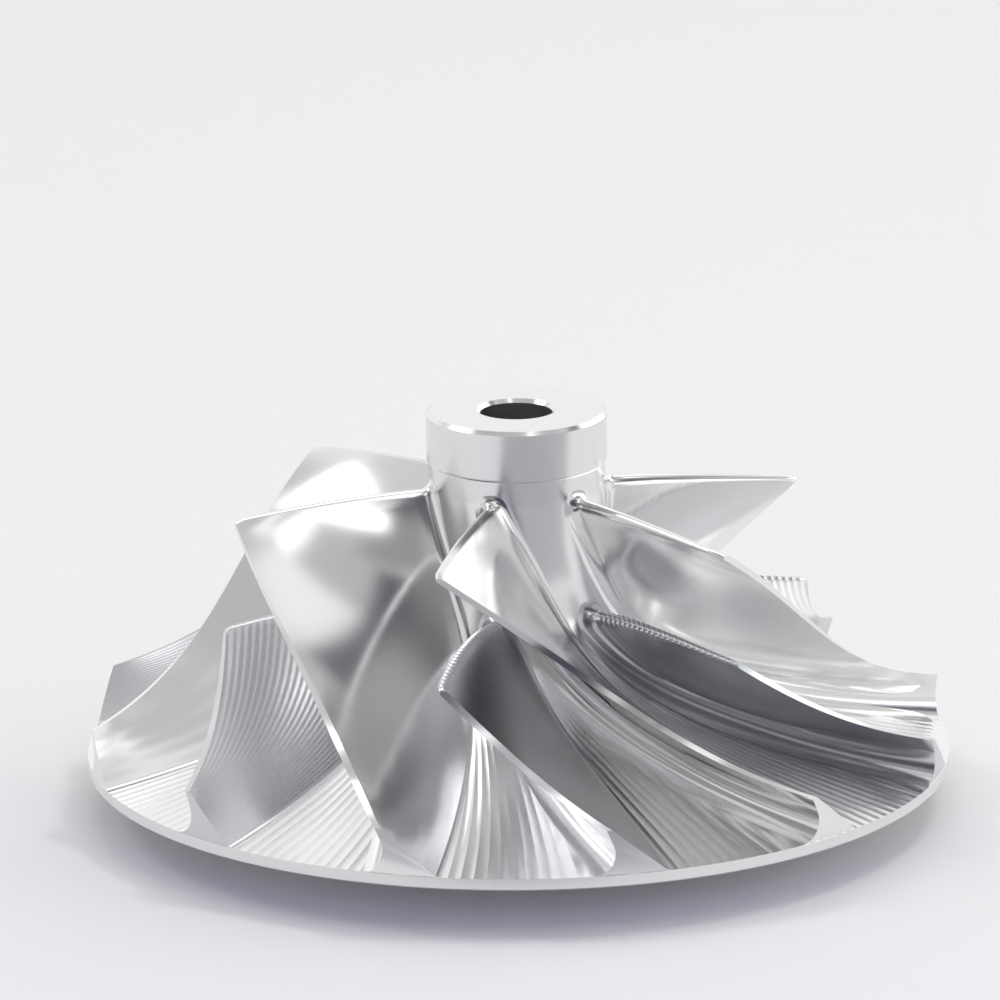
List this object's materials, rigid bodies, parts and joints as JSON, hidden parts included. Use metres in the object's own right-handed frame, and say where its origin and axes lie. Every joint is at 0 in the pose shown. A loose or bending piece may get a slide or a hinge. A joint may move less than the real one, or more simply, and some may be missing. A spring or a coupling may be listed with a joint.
{
  "type": "compressor wheel",
  "caption": "Turbocharger compressor wheel milled from solid aluminium, with full and splitter blades, a turned nose and a shaft bore.",
  "frame": {"origin": "centre of the boss's flat back face, on the shaft axis", "axes": "+Z along the shaft axis, from the back boss to the nose; the picture was taken from the -Y side"},
  "size_m": [0.0762, 0.0762, 0.0359],
  "materials": {
    "machined_aluminium": "satin"
  },
  "bodies": {
    "root": {"compressor_wheel": "machined_aluminium"}
  },
  "joints": []
}
